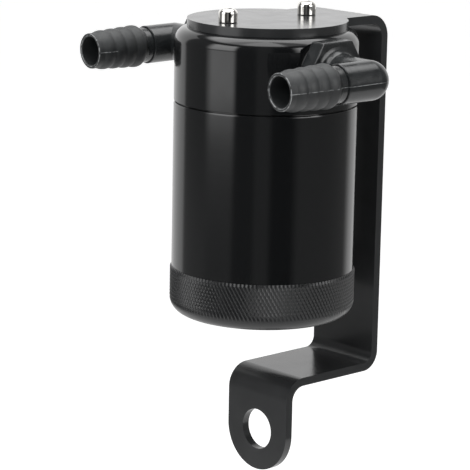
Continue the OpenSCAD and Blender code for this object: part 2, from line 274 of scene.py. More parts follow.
def round_edges(obj, width, segments, angle):
    """Rounds every edge that is sharper than the angle."""
    apply_modifier(obj, "Edges", "BEVEL", width=width, segments=segments, limit_method="ANGLE",
                   angle_limit=math.radians(angle), miter_outer="MITER_ARC")


def shade(obj, angle):
    """Shades a piece smooth up to an angle, and keeps flat faces beside small roundings flat."""
    select_only(obj)
    bpy.ops.object.shade_smooth_by_angle(angle=math.radians(angle))
    apply_modifier(obj, "Flats", "WEIGHTED_NORMAL", keep_sharp=True)


def finish_piece(obj, finish, body, node):
    """Gives a finished piece its material and its body, and hides the CAD node it stands for."""
    obj.data.materials.clear()
    obj.data.materials.append(finish_material(finish))
    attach(obj, body)
    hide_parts(node)


# Materials. Tool marks and blasting are finer than 0.1 mm, too fine to show, so they are drawn coarser.

def add_node(tree, kind, inputs=None, output=0, **settings):
    """Adds a shader node and gives one of its outputs, or the node itself where it has none.

    inputs maps a socket's name or number to a value or to the output that feeds it.
    """
    node = tree.nodes.new("ShaderNode" + kind)
    for name, value in settings.items():
        setattr(node, name, value)
    for socket, value in (inputs or {}).items():
        if isinstance(value, bpy.types.NodeSocket):
            tree.links.new(value, node.inputs[socket])
        else:
            node.inputs[socket].default_value = value
    return node.outputs[output] if node.outputs else node


def empty_material(name):
    """A new material without nodes."""
    material = bpy.data.materials.new(name)
    material.use_nodes = True
    material.node_tree.nodes.clear()
    return material, material.node_tree


def surface(name, colour, **constants):
    """A material with one Principled shader. constants are its plain values, by socket name."""
    material, tree = empty_material(name)
    shader = add_node(tree, "BsdfPrincipled", {"Base Color": colour, **constants})
    add_node(tree, "OutputMaterial", {"Surface": shader})
    return material, tree, shader.node


def grain(tree, size, stretch=(1, 1, 1), detail=2.0, rough=0.5):
    """Noise whose grains are the given size in metres, stretched along an axis by a scale under 1."""
    where = add_node(tree, "TexCoord", output="Object")
    scaled = add_node(tree, "Mapping", {"Vector": where, "Scale": stretch})
    return add_node(tree, "TexNoise", {"Vector": scaled, "Scale": 1 / size, "Detail": detail, "Roughness": rough})


def vary(tree, shader, socket, field, low, high):
    """Lets a noise field, which keeps to its middle, move a shader's value between two limits."""
    moved = add_node(tree, "MapRange", {
        "Value": field, "From Min": 0.3, "From Max": 0.7, "To Min": low, "To Max": high})
    tree.links.new(moved, shader.inputs[socket])


def tint(tree, shader, field, dark, light):
    """Lets a field move the base colour between two colours, of which either may be another node's output."""
    mixed = add_node(tree, "Mix", {"Factor": field, 6: dark, 7: light}, 2, data_type="RGBA")
    tree.links.new(mixed, shader.inputs["Base Color"])
    return mixed


def bump(tree, shader, field, height, under=None):
    """Raises the surface by a field, height metres from its lowest to its highest, over another bump."""
    inputs = {"Height": field, "Distance": height, "Strength": 1.0}
    if under is not None:
        inputs["Normal"] = under
    raised = add_node(tree, "Bump", inputs)
    tree.links.new(raised, shader.inputs["Normal"])
    return raised


def scaled_colour(colour, factor):
    """A darker or lighter copy of a colour."""
    return [min(1.0, c * factor) for c in colour[:3]] + [1.0]


def chosen_colour(finish):
    """The colour that the panel holds for a finish."""
    return list(getattr(bpy.context.scene.catch_can_colours, finish))


def powder_coat():
    """Gloss black polyester powder coat, sprayed and baked on steel: a faint orange peel in a glossy film."""
    colour = chosen_colour("coat")
    material, tree, shader = surface("gloss_black_powder_coat", colour, Roughness=0.2)
    peel = grain(tree, 1.6 * MM, detail=1.0)
    cloud = grain(tree, 9 * MM, detail=3.0)
    tint(tree, shader, cloud, scaled_colour(colour, 0.85), scaled_colour(colour, 1.15))
    vary(tree, shader, "Roughness", cloud, 0.19, 0.23)
    bump(tree, shader, peel, 0.004 * MM)
    return material


def bright_anodised():
    """Aluminium turned bright and dyed black in the bath: a hard clear skin that mirrors the room."""
    colour = chosen_colour("anodised")
    material, tree, shader = surface("bright_black_anodised_aluminium", colour, Roughness=0.1)
    rings = grain(tree, 0.35 * MM, stretch=(0.01, 0.01, 1))
    cloud = grain(tree, 14 * MM)
    vary(tree, shader, "Roughness", cloud, 0.08, 0.13)
    bump(tree, shader, rings, 0.0006 * MM)
    return material


def turned_anodised():
    """The same anodised skin on a tube that keeps its turning lines, which smear a reflection upright."""
    colour = chosen_colour("anodised")
    material, tree, shader = surface("turned_black_anodised_aluminium", colour, Roughness=0.16)
    rings = grain(tree, 0.4 * MM, stretch=(0.01, 0.01, 1), detail=3.0)
    vary(tree, shader, "Roughness", rings, 0.11, 0.15)
    bump(tree, shader, rings, 0.0008 * MM)
    return material


def knurled_anodised():
    """Rolled diamond knurl, blasted dull by the roller and anodised black, with brighter diamond tops."""
    colour = chosen_colour("anodised")
    material, tree, shader = surface("knurled_black_anodised_aluminium", colour, Roughness=0.3)
    wear = grain(tree, 2.5 * MM, detail=3.0)
    tint(tree, shader, wear, colour, scaled_colour(colour, 1.8))
    vary(tree, shader, "Roughness", wear, 0.27, 0.37)
    bump(tree, shader, grain(tree, 0.25 * MM), 0.004 * MM)
    return material


def hose_lines(tree, sizes):
    """Lengths along, above and beside the hose ends from the can's axis."""
    where = add_node(tree, "TexCoord", output="Object")
    from_axis = add_node(tree, "VectorMath", {0: where, 1: (CAN_X, 0, PORT_Z)}, operation="SUBTRACT")
    flat, drop = math.cos(sizes.dip), math.sin(sizes.dip)
    along, across = math.cos(PORT_TURN), math.sin(PORT_TURN)
    lines = ((-along * flat, -across * flat, -drop), (-along * drop, -across * drop, flat), (-across, along, 0))
    return [add_node(tree, "VectorMath", {0: from_axis, 1: line}, "Value", operation="DOT_PRODUCT")
            for line in lines]


def painted_seam_and_lip_highlight(tree, sizes, run, rise, side):
    """1 where a painted highlight lies on the mould's seam and on the lip of the mouth, in patches.

    It stands for the glints on those edges. It runs all along the inlet's seam and only at the outlet's tip, and
    no bore has one.
    """
    seam_half, lip_half, bore_reach = 0.14 * MM, 0.12 * MM, sizes.bore_r + 0.6 * MM
    lip_at, tip_at, bore_at = sizes.length - 0.14 * MM, sizes.length - 9 * MM, 9 * MM
    seam = add_node(tree, "Math", {0: rise, 1: 0.0, 2: seam_half}, operation="COMPARE")
    on_inlet = add_node(tree, "Math", {0: side, 1: 0.0}, operation="LESS_THAN")
    at_tip = add_node(tree, "Math", {0: run, 1: tip_at}, operation="GREATER_THAN")
    highlight_stretch = add_node(tree, "Math", {0: on_inlet, 1: at_tip}, operation="MAXIMUM")
    seam_highlight = add_node(tree, "Math", {0: seam, 1: highlight_stretch}, operation="MULTIPLY")
    away = add_node(tree, "Math", {0: side}, operation="ABSOLUTE")
    near = add_node(tree, "Math", {0: away, 1: sizes.reach, 2: bore_reach}, operation="COMPARE")
    on_hose = add_node(tree, "Math", {0: run, 1: bore_at}, operation="GREATER_THAN")
    in_bore = add_node(tree, "Math", {0: near, 1: on_hose}, operation="MULTIPLY")
    outside = add_node(tree, "Math", {0: seam_highlight, 1: in_bore}, operation="SUBTRACT", use_clamp=True)
    lip = add_node(tree, "Math", {0: run, 1: lip_at, 2: lip_half}, operation="COMPARE")
    painted_highlight = add_node(tree, "Math", {0: outside, 1: lip}, operation="MAXIMUM")
    patches = add_node(tree, "MapRange", {"Value": grain(tree, 1.5 * MM), "From Min": 0.35, "From Max": 0.6})
    return add_node(tree, "Math", {0: painted_highlight, 1: patches}, operation="MULTIPLY")


def moulded_nylon():
    """Nylon, injection moulded: a glossy skin with flow clouds, an etched dull grain on the barbs, and a painted
    highlight along the seam and the lip.
    """
    sizes = bpy.context.scene.catch_can_elbows
    etch_from, etch_to = 19 * MM, 21.5 * MM
    colour = chosen_colour("nylon")
    material, tree, shader = surface("moulded_black_nylon", colour)
    run, rise, side = hose_lines(tree, sizes)
    flow = grain(tree, 4 * MM, detail=4.0, rough=0.6)
    clouded = tint(tree, shader, flow, scaled_colour(colour, 0.7), scaled_colour(colour, 1.3))
    # Pale painted highlight on the seam and the lip of the mouth, standing for the glints on those edges
    tint(tree, shader, painted_seam_and_lip_highlight(tree, sizes, run, rise, side), clouded, linear("#8b8d8e"))
    skin = add_node(tree, "MapRange", {
        "Value": run, "From Min": etch_from, "From Max": etch_to, "To Min": 0.19, "To Max": 0.52})
    cloud = add_node(tree, "MapRange", {
        "Value": flow, "From Min": 0.3, "From Max": 0.7, "To Min": -0.05, "To Max": 0.07})
    rough = add_node(tree, "Math", {0: skin, 1: cloud}, operation="ADD")
    tree.links.new(rough, shader.inputs["Roughness"])
    waves = bump(tree, shader, grain(tree, 2.6 * MM), 0.03 * MM)
    bump(tree, shader, grain(tree, 0.3 * MM), 0.006 * MM, under=waves)
    return material


def polished_steel():
    """Stainless steel, turned and polished: a mirror with hair-fine rings."""
    colour = chosen_colour("polished")
    material, tree, shader = surface("polished_stainless_steel", colour, Metallic=1.0, Roughness=0.07)
    rings = grain(tree, 0.3 * MM, stretch=(0.02, 0.02, 1))
    vary(tree, shader, "Roughness", rings, 0.05, 0.1)
    bump(tree, shader, rings, 0.0006 * MM)
    return material


def seal_rubber():
    """Nitrile rubber, moulded: dull black with a faint bloom."""
    colour = chosen_colour("rubber")
    material, tree, shader = surface("moulded_nitrile_rubber", colour, Roughness=0.6)
    bloom = grain(tree, 1.2 * MM, detail=3.0)
    tint(tree, shader, bloom, scaled_colour(colour, 0.8), scaled_colour(colour, 1.5))
    bump(tree, shader, grain(tree, 0.2 * MM), 0.004 * MM)
    return material


def machined_aluminium():
    """Bare aluminium from the lathe and the press: soft satin with fine tool lines."""
    colour = linear("#c3c5c7")
    material, tree, shader = surface("machined_aluminium", colour, Metallic=1.0, Roughness=0.32)
    lines = grain(tree, 0.4 * MM, stretch=(0.05, 0.05, 1), detail=3.0)
    vary(tree, shader, "Roughness", lines, 0.25, 0.42)
    bump(tree, shader, lines, 0.004 * MM)
    return material


def sintered_bronze():
    """Bronze beads sintered into a porous wall: warm, dull and granular, with painted shade towards the edges of
    each bead.
    """
    colour = linear("#a9854a")
    material, tree, shader = surface("sintered_bronze", colour, Metallic=1.0, Roughness=0.55)
    where = add_node(tree, "TexCoord", output="Object")
    beads = add_node(tree, "TexVoronoi", {"Vector": where, "Scale": 1 / (0.5 * MM)}, "Distance")
    # Painted shade: darker from each bead's middle out to the gaps between the beads
    tint(tree, shader, beads, scaled_colour(colour, 1.2), scaled_colour(colour, 0.4))
    bump(tree, shader, beads, -0.2 * MM)
    return material


def zinc_plated_steel():
    """Steel rod and fixings with bright zinc: a bluish satin with small stains."""
    colour = linear("#b4b8bc")
    material, tree, shader = surface("zinc_plated_steel", colour, Metallic=1.0, Roughness=0.3)
    stains = grain(tree, 1.5 * MM, detail=3.0)
    tint(tree, shader, stains, scaled_colour(colour, 0.85), scaled_colour(colour, 1.1))
    vary(tree, shader, "Roughness", stains, 0.24, 0.4)
    return material


def knitted_wire():
    """Knitted stainless wire packed into a disc: loops of 0.3 mm wire with painted shade, near black, in the gaps
    between them.
    """
    colour = linear("#9da0a3")
    material, tree, shader = surface("knitted_stainless_wire", colour, Metallic=1.0, Roughness=0.35)
    where = add_node(tree, "TexCoord", output="Object")
    loops = add_node(tree, "TexVoronoi", {"Vector": where, "Scale": 1 / (1.4 * MM)}, "Distance",
                     feature="DISTANCE_TO_EDGE")
    gaps = add_node(tree, "MapRange", {"Value": loops, "From Min": 0.05, "From Max": 0.2})
    # The gaps between the loops are painted near black as painted shade
    tint(tree, shader, gaps, colour, linear("#0c0c0c"))
    bump(tree, shader, gaps, -0.5 * MM)
    return material


def finish_material(finish):
    """Makes the material of a finish once, and gives the same one again after that."""
    scene = bpy.context.scene
    key = "catch_can_" + finish.__name__
    if key not in scene:
        scene[key] = finish().name
    return bpy.data.materials[scene[key]]


# Bracket

def extend(x, z):
    """Extends the selected end of the sheet."""
    bpy.ops.mesh.extrude_edges_move(TRANSFORM_OT_translate={"value": (x, 0, z)})


def fold(centre_x, centre_z, degrees):
    """Folds the selected end of the sheet about a line along Y, clockwise as seen from -Y."""
    bpy.ops.mesh.spin(steps=12, angle=math.radians(-degrees), axis=(0, 1, 0), center=(centre_x, 0, centre_z))


def fixing_tab(sizes, x, top_z):
    """Adds the tab to the open sheet: a full round end about the hole, and the strip above it."""
    outer = STRAP_W / 2
    bpy.ops.mesh.select_all(action="DESELECT")
    bpy.ops.mesh.primitive_circle_add(vertices=96, radius=sizes.hole_r, location=(x, 0, 0),
                                      rotation=(0, math.pi / 2, 0), fill_type="NOTHING")

    def below_middle(vert):
        return (close_to(vert.co.x, x) and close_to(vert.co.yz.length, sizes.hole_r)
                and vert.co.z < 0.001 * MM)

    def round_strip(edge):
        at = middle(edge)
        return (close_to(at.x, x) and at.z > -0.001 * MM and len(edge.link_faces) < 2
                and (at.z > 0 or abs(at.y) > sizes.hole_r))

    pick("VERT", below_middle)
    bpy.ops.mesh.extrude_edges_move()
    scale = outer / sizes.hole_r
    bpy.ops.transform.resize(value=(1, scale, scale), center_override=(x, 0, 0))
    for side in (-1, 1):
        pick("VERT", lambda v: close_to(v.co.x, x) and close_to(v.co.y, side * outer, 0.03 * MM)
             and (close_to(v.co.z, top_z) or close_to(v.co.z, 0)))
        bpy.ops.mesh.edge_face_add()
    pick("EDGE", round_strip)
    bpy.ops.mesh.edge_face_add()


class CATCHCAN_OT_bracket(bpy.types.Operator):
    """Folds the bracket out of one sheet: plate, arm, strap, shelf and tab"""

    bl_idname = "catch_can.bracket"
    bl_label = "Bracket"

    def execute(self, context):
        sizes = context.scene.catch_can_bracket
        half_t = SHEET_T / 2
        strap_x = BRACKET_HIGH.x - half_t
        mid_r = sizes.fold_r + half_t
        low_r = sizes.low_fold_r + half_t
        plate_z = BRACKET_HIGH.z - half_t
        shelf_z = sizes.shelf_z - half_t
        tab_x = -half_t
        notch_x = CAN_X + math.sqrt(PLATE_R ** 2 - (STRAP_W / 2) ** 2)
        hole_r = sizes.screw_r + 0.25 * MM
        # The sheet is folded on its middle line, from the plate down to the tab, and then thickened
        obj = added("bracket_sheet", bpy.ops.mesh.primitive_circle_add, vertices=180, radius=PLATE_R,
                    fill_type="NGON", location=(CAN_X, 0, plate_z))
        bpy.ops.object.transform_apply()
        open_piece(obj)
        bpy.ops.mesh.bisect(plane_co=(notch_x, 0, 0), plane_no=(1, 0, 0), clear_outer=True, threshold=0.001 * MM)
        pick("EDGE", lambda e: close_to(middle(e).x, notch_x) and close_to(middle(e).y, 0))
        extend(strap_x - mid_r - notch_x, 0)
        fold(strap_x - mid_r, plate_z - mid_r, 90)
        extend(0, shelf_z + low_r - (plate_z - mid_r))
        fold(strap_x - low_r, shelf_z + low_r, 90)
        extend(tab_x + mid_r - (strap_x - low_r), 0)
        fold(tab_x + mid_r, shelf_z - mid_r, -90)
        fixing_tab(sizes, tab_x, shelf_z - mid_r)
        settle(obj)
        point_outwards(obj)
        apply_modifier(obj, "Sheet", "SOLIDIFY", thickness=SHEET_T, offset=0, use_even_offset=True)
        point_outwards(obj)
        for side in (-1, 1):
            hole = turned("screw_hole", [(hole_r, HEAD_HIGH.z - MM), (hole_r, BRACKET_HIGH.z + MM)], 48)
            settle(hole, Matrix.Translation((CAN_X + side * SCREW_X, 0, 0)))
            combine(obj, "DIFFERENCE", hole)
        round_edges(obj, sizes.edge_round, 3, 40)
        shade(obj, 32)
        finish_piece(obj, powder_coat, "can", "bracket")
        return {"FINISHED"}


class CATCHCAN_OT_screws(bpy.types.Operator):
    """Turns the two domed screws, cuts their sockets and sets them in the plate"""

    bl_idname = "catch_can.screws"
    bl_label = "Bracket screws"

    def execute(self, context):
        sizes = context.scene.catch_can_bracket
        top, low = SCREWS_HIGH.z - BRACKET_HIGH.z, SCREWS_LOW.z - BRACKET_HIGH.z
        tip, seat, foot = 0.5 * MM, 0.1 * MM, 0.25 * MM
        socket_z, flare, rim = top * 0.45, 0.15 * MM, 0.4 * MM
        stations = [(sizes.screw_r - tip, low), (sizes.screw_r, low + tip), (sizes.screw_r, seat),
                    (SCREW_HEAD_R - foot, seat), (SCREW_HEAD_R, seat + foot)]
        stations += arc(SCREW_HEAD_R - sizes.dome_r, top - sizes.dome_r, sizes.dome_r, 0, 84, 12)
        stations += [(sizes.socket_r + rim, top)]
        for side, name in ((-1, "front_bracket_screw"), (1, "rear_bracket_screw")):
            obj = turned(name, stations, 96)
            combine(obj, "DIFFERENCE", turned("socket", [
                (sizes.socket_r, socket_z), (sizes.socket_r, top - flare),
                (sizes.socket_r + 2 * flare, top + flare)], 6))
            round_edges(obj, 0.12 * MM, 2, 50)
            shade(obj, 30)
            settle(obj, Matrix.Translation((CAN_X + side * SCREW_X, 0, BRACKET_HIGH.z)))
            finish_piece(obj, polished_steel, "can", "bracket_screws")
        return {"FINISHED"}


# Can

def port_place(side):
    """The place of a port: +Z runs out of the head and -X along the hose end. side is -1 at the inlet."""
    dip = bpy.context.scene.catch_can_elbows.dip
    return (Matrix.Translation((CAN_X, 0, PORT_Z)) @ Matrix.Rotation(PORT_TURN, 4, "Z")
            @ Matrix.Rotation(math.radians(-90 * side), 4, "X") @ Matrix.Rotation(-side * dip, 4, "Z"))


class CATCHCAN_OT_head(bpy.types.Operator):
    """Turns the head, with a groove at the parting line, and cuts its spot faces and ports"""

    bl_idname = "catch_can.head"
    bl_label = "Head"

    def execute(self, context):
        sizes = context.scene.catch_can_body
        elbow = context.scene.catch_can_elbows
        part_z = TUBE_HIGH.z
        groove_r, groove_z, lip = CAN_R - 1.6 * MM, part_z + 0.65 * MM, 0.15 * MM
        pocket_r, pocket_z = sizes.spigot_r - 4 * MM, part_z + 2 * MM
        port_r, countersink = elbow.thread_r + 0.1 * MM, 0.5 * MM
        spot_r, spot_z = elbow.hex_af / math.sqrt(3) + 0.1 * MM, CAN_R - 1.9 * MM
        obj = turned("head_block", [
            (pocket_r, pocket_z), (pocket_r, HEAD_LOW.z), (sizes.spigot_r, HEAD_LOW.z), (sizes.spigot_r, part_z),
            (groove_r, part_z), (groove_r, groove_z), (CAN_R - lip, groove_z), (CAN_R, groove_z + lip)]
            + arc(CAN_R - sizes.head_round, HEAD_HIGH.z - sizes.head_round, sizes.head_round, 0, 90, 14), 240)
        settle(obj, Matrix.Translation((CAN_X, 0, 0)))
        for side in (-1, 1):
            cutter = turned("port_cutter", [
                (port_r, spot_z - elbow.thread_len - MM), (port_r, spot_z - countersink),
                (port_r + countersink, spot_z), (spot_r, spot_z), (spot_r, CAN_R + 5 * MM)])
            combine(obj, "DIFFERENCE", settle(cutter, port_place(side)))
        shade(obj, 30)
        finish_piece(obj, bright_anodised, "can", "head")
        return {"FINISHED"}


class CATCHCAN_OT_tube(bpy.types.Operator):
    """Turns the tube with its parting chamfer"""

    bl_idname = "catch_can.tube"
    bl_label = "Tube"

    def execute(self, context):
        sizes = context.scene.catch_can_body
        low, high, step, foot = TUBE_LOW.z, TUBE_HIGH.z, sizes.part_chamfer, 0.1 * MM
        obj = turned("tube_shell", [
            (sizes.bore_r, low), (CAN_R - foot, low), (CAN_R, low + foot), (CAN_R, high - step),
            (CAN_R - step * 0.4, high - 0.1 * MM), (CAN_R - step, high), (sizes.bore_r, high)], 240, hollow=True)
        settle(obj, Matrix.Translation((CAN_X, 0, 0)))
        shade(obj, 30)
        finish_piece(obj, turned_anodised, "can", "tube")
        return {"FINISHED"}


# Cap

def rounding_r(sizes, z):
    """Outer radius of the cap's plain turned form at a height, with its rounded lower edge."""
    below = max(0.0, CAP_LOW.z + sizes.cap_round - z)
    return CAP_R - sizes.cap_round + math.sqrt(max(0.0, sizes.cap_round ** 2 - below ** 2))


def raise_diamonds(sizes, rows):
    """Pulls every second vertex of the knurled rows out to the cap's radius, row by row."""
    for number, (z, groove_r) in enumerate(rows):
        peak_r = min(CAP_R, rounding_r(sizes, z))
        if peak_r - groove_r < 0.01 * MM:
            continue

        def is_peak(vert):
            if not (close_to(vert.co.z, z) and close_to(vert.co.xy.length, groove_r, 0.05 * MM)):
                return False
            column = round(math.atan2(vert.co.y, vert.co.x) / math.pi * sizes.knurl_count)
            return (column + number) % 2 == 0

        pick("VERT", is_peak)
        scale = peak_r / groove_r
        bpy.ops.transform.resize(value=(scale, scale, 1), center_override=(0, 0, z))


def knurl_rows(sizes):
    """Height and groove radius of each row of the knurl, from the lower edge up."""
    top_z = TUBE_LOW.z - 1.2 * MM
    low_z = CAP_LOW.z + sizes.cap_round / 2
    row_h = math.pi * CAP_R / sizes.knurl_count / math.tan(sizes.knurl_angle)
    count = math.floor((top_z - low_z) / row_h)
    heights = [top_z - row_h * (count - i) for i in range(count + 1)]
    return [(z, min(CAP_R - sizes.knurl_depth, rounding_r(sizes, z))) for z in heights]


def cut_diamonds(sizes, rows):
    """Splits the knurl along its grooves, which are shallower in one hand, and blunts its diamonds."""
    low_z, high_z = rows[0][0] - 0.01 * MM, rows[-1][0] + 0.01 * MM
    row_h = rows[1][0] - rows[0][0]
    shallower, blunt = 0.045 * MM, 0.16 * MM

    def in_knurl(face):
        return len(face.verts) == 4 and all(low_z < v.co.z < high_z for v in face.verts)

    def on_shallow_groove(face):
        centre = face.calc_center_median()
        column = round(math.atan2(centre.y, centre.x) / math.pi * sizes.knurl_count - 0.5)
        row = round((centre.z - rows[0][0]) / row_h - 0.5)
        return in_knurl(face) and (column + row) % 2 == 1

    pick("FACE", on_shallow_groove)
    bpy.ops.mesh.poke(offset=shallower)
    pick("FACE", in_knurl)
    bpy.ops.mesh.quads_convert_to_tris(quad_method="SHORTEST_DIAGONAL")
    pick("VERT", lambda v: low_z < v.co.z < high_z and v.co.xy.length > CAP_R - 0.02 * MM)
    bpy.ops.mesh.bevel(offset=blunt, segments=1, affect="VERTICES")


def thread_ridge(name, root_r, crest_r, z_low, z_high, pitch):
    """A helical ridge of V section about Z, for a thread that shows when the cap is down."""
    half = pitch * 0.42
    obj = added(name, bpy.ops.mesh.primitive_circle_add, vertices=4, radius=1, fill_type="NGON",
                rotation=(math.pi / 2, 0, 0))
    bpy.ops.object.transform_apply()
    corners = [(root_r - 0.5 * MM, -half), (crest_r, -half / 4), (crest_r, half / 4), (root_r - 0.5 * MM, half)]
    for vert, (r, z) in zip(obj.data.vertices, corners):
        vert.co = Vector((r, 0, z_low + half + z))
    turns = (z_high - z_low - 2 * half) / pitch
    steps = int(96 * turns)
    apply_modifier(obj, "Thread", "SCREW", axis="Z", angle=2 * math.pi * turns, screw_offset=pitch * turns,
                   steps=steps, render_steps=steps, use_merge_vertices=True)
    point_outwards(obj)
    return obj


class CATCHCAN_OT_cap(bpy.types.Operator):
    """Turns the cap, rolls its diamond knurl and cuts the thread on its spigot"""

    bl_idname = "catch_can.cap"
    bl_label = "Bottom cap"

    def execute(self, context):
        sizes = context.scene.catch_can_body
        lower_r, cup_round, lead = sizes.cap_round, 3 * MM, 0.6 * MM
        top_z, spigot_z, floor_z = TUBE_LOW.z - 0.02 * MM, CAP_HIGH.z, CAP_LOW.z + 6 * MM
        seal_low, seal_high, seal_r = top_z + 0.6 * MM, top_z + 3 * MM, sizes.spigot_r - 1.75 * MM
        thread_r, cup_r = sizes.spigot_r - 0.9 * MM, sizes.spigot_r - 3.7 * MM
        # The blank is turned at the bottom of the knurl's grooves, and its tops are then pulled out
        rows = knurl_rows(sizes)
        low_angle = math.degrees(math.asin((rows[0][0] - CAP_LOW.z) / lower_r - 1))
        stations = arc(CAP_R - lower_r, CAP_LOW.z + lower_r, lower_r, -90, low_angle, 10)[:-1]
        stations += [(r, z) for z, r in rows]
        stations += [
            (CAP_R - sizes.knurl_depth - 0.1 * MM, top_z), (sizes.spigot_r, top_z),
            (sizes.spigot_r, seal_low), (seal_r, seal_low), (seal_r, seal_high), (sizes.spigot_r, seal_high),
            (sizes.spigot_r, seal_high + MM), (thread_r, seal_high + MM + lead), (thread_r, spigot_z - lead),
            (thread_r - lead, spigot_z), (cup_r, spigot_z)]
        stations += arc(cup_r - cup_round, floor_z + cup_round, cup_round, 0, -90, 6)
        obj = turned("knurled_cap", stations, 2 * sizes.knurl_count)
        open_piece(obj)
        raise_diamonds(sizes, rows)
        cut_diamonds(sizes, rows)
        settle(obj)
        ridge = thread_ridge("thread", thread_r, sizes.spigot_r, seal_high + 1.2 * MM, spigot_z - 0.4 * MM,
                             sizes.thread_pitch)
        select_only(ridge, obj)
        bpy.ops.object.join()
        settle(obj, Matrix.Translation((CAN_X, 0, 0)))
        shade(obj, 24)
        finish_piece(obj, knurled_anodised, "cap", "bottom_cap")
        return {"FINISHED"}


# Elbows

def barb_radius(sizes, s):
    """Radius of the hose end at a distance from the elbow's corner: a neck with four rounded barbs."""
    neck_r = sizes.body_r - 0.6 * MM
    pitch, rise, taper, roundness = 5.2 * MM, 1.45 * MM, 0.22 * MM, 6.4 * MM
    flank_rise, back_run, front_run = rise + 0.3 * MM, 3 * MM, 5.5 * MM
    first = sizes.length - 6 * MM - 3 * pitch
    radius = 0.0
    for i in range(4):
        inside = roundness ** 2 - (s - first - i * pitch) ** 2
        if inside > 0:
            radius = max(radius, neck_r + rise - i * taper - roundness + math.sqrt(inside))
    back = neck_r + (s - (first - 3.6 * MM)) * flank_rise / back_run
    front = neck_r + (sizes.length - s) * flank_rise / front_run
    return max(neck_r, min(radius, back, front))


def mould_seam(height, low_z, bevel_from, raise_from):
    """Raises the line that the mould's halves left in the X-Z plane, from radii that keep off the poles."""
    half_w, mean_r = 0.16 * MM, 8 * MM

    def on_seam(vert, radius):
        return abs(vert.co.y) < 0.001 * MM and vert.co.z > low_z and vert.co.xy.length > radius

    bpy.ops.object.mode_set(mode="EDIT")
    pick("EDGE", lambda e: all(on_seam(v, bevel_from) for v in e.verts))
    bpy.ops.mesh.bevel(offset=half_w, segments=2, affect="EDGES")
    pick("VERT", lambda v: on_seam(v, raise_from))
    bpy.ops.transform.resize(value=(1 + height / mean_r, 1, 1), center_override=(0, 0, 0))


def hose_end(sizes):
    """The barbed end about Z, from the elbow's corner up to its mouth."""
    step, chamfer, count = 15.8 * MM, 0.25 * MM, 64
    neck_r = sizes.body_r - 0.6 * MM
    relief_r = neck_r - 0.15 * MM
    first, last = 18.8 * MM, sizes.length - 0.3 * MM
    heights = [first + (last - first) * i / count for i in range(count + 1)]
    stations = [(sizes.body_r, 0), (sizes.body_r, 8 * MM), (sizes.body_r, step - chamfer),
                (sizes.body_r - chamfer, step), (relief_r, step), (relief_r, step + 0.4 * MM),
                (neck_r, step + 0.7 * MM)]
    stations += [(barb_radius(sizes, z), z) for z in heights]
    stations += [(neck_r - 0.3 * MM, sizes.length)]
    obj = turned("hose_end", stations, 96)
    mould_seam(sizes.seam, -MM, 6 * MM, 6 * MM)
    return settle(obj)


def leg(sizes):
    """Thread, collar, leg and rounded outer corner about Z."""
    slack, collar_r, lead = 0.02 * MM, 3 * MM, 0.8 * MM
    leg_r = sizes.body_r - slack
    end, face = sizes.hex_z - sizes.thread_len, sizes.hex_z + sizes.hex_h
    stations = [(sizes.thread_r - lead, end), (sizes.thread_r, end + lead), (sizes.thread_r, face - MM),
                (leg_r + collar_r, face - MM)]
    stations += arc(leg_r + collar_r, face + collar_r, collar_r, -90, -180, 8)
    stations += arc(0, sizes.reach, leg_r, 0, 87, 24)
    obj = turned("elbow_leg", stations, 96)
    mould_seam(sizes.seam, sizes.reach - MM, 3.5 * MM, 4.5 * MM)
    return settle(obj)


class CATCHCAN_OT_elbows(bpy.types.Operator):
    """Moulds both hose elbows: thread, hexagon, collar, leg, barbs and bore"""

    bl_idname = "catch_can.elbows"
    bl_label = "Hose elbows"

    def execute(self, context):
        sizes = context.scene.catch_can_elbows
        rim = 0.5 * MM
        to_hose = Matrix.Translation((0, 0, sizes.reach)) @ Matrix.Rotation(math.radians(-90), 4, "Y")
        bore_stations = [(sizes.bore_r, sizes.hex_z - sizes.thread_len - MM), (sizes.bore_r, sizes.reach)]
        bore_stations += arc(0, sizes.reach, sizes.bore_r, 5, 85, 12)
        mouth_stations = [(sizes.bore_r - rim, 0.1 * MM), (sizes.bore_r, 3 * MM),
                          (sizes.bore_r, sizes.length - rim), (sizes.bore_r + rim, sizes.length),
                          (sizes.bore_r + rim, sizes.length + MM)]
        for side, name, node in ((-1, "inlet_hose_elbow", "inlet_elbow"),
                                 (1, "outlet_hose_elbow", "outlet_elbow")):
            # Leg, hexagon and hose end are one moulding, and two core pins leave the bore
            obj = leg(sizes)
            hexagon = added("hexagon", bpy.ops.mesh.primitive_cylinder_add, vertices=6,
                            radius=sizes.hex_af / math.sqrt(3), depth=sizes.hex_h,
                            location=(0, 0, sizes.hex_z + sizes.hex_h / 2), rotation=(0, 0, math.radians(30)))
            open_piece(hexagon)
            bpy.ops.mesh.bevel(offset=0.7 * MM, segments=2, affect="EDGES")
            settle(hexagon)
            combine(obj, "UNION", hexagon, settle(hose_end(sizes), to_hose))
            combine(obj, "DIFFERENCE", turned("bore", bore_stations, 64))
            combine(obj, "DIFFERENCE", settle(turned("mouth", mouth_stations, 64), to_hose))
            obj.name = obj.data.name = name
            settle(obj, port_place(side))
            shade(obj, 32)
            finish_piece(obj, moulded_nylon, "can", node)
        return {"FINISHED"}


class CATCHCAN_OT_inner_finishes(bpy.types.Operator):
    """Gives the seals and the inner pieces of the frame their materials"""

    bl_idname = "catch_can.inner_finishes"
    bl_label = "Inner finishes"

    def execute(self, context):
        finishes = {
            seal_rubber: ("inlet_oring", "outlet_oring", "head_oring", "cap_oring"),
            machined_aluminium: ("drop_tube", "rod_spacer", "upper_baffle", "lower_baffle"),
            sintered_bronze: ("outlet_filter",),
            zinc_plated_steel: ("centre_rod", "rod_washer", "rod_nut"),
            knitted_wire: ("mesh_pack",),
        }
        for finish, nodes in finishes.items():
            for node in nodes:
                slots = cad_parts[node].data.materials
                slots.clear()
                slots.append(finish_material(finish))
        return {"FINISHED"}


# Studio

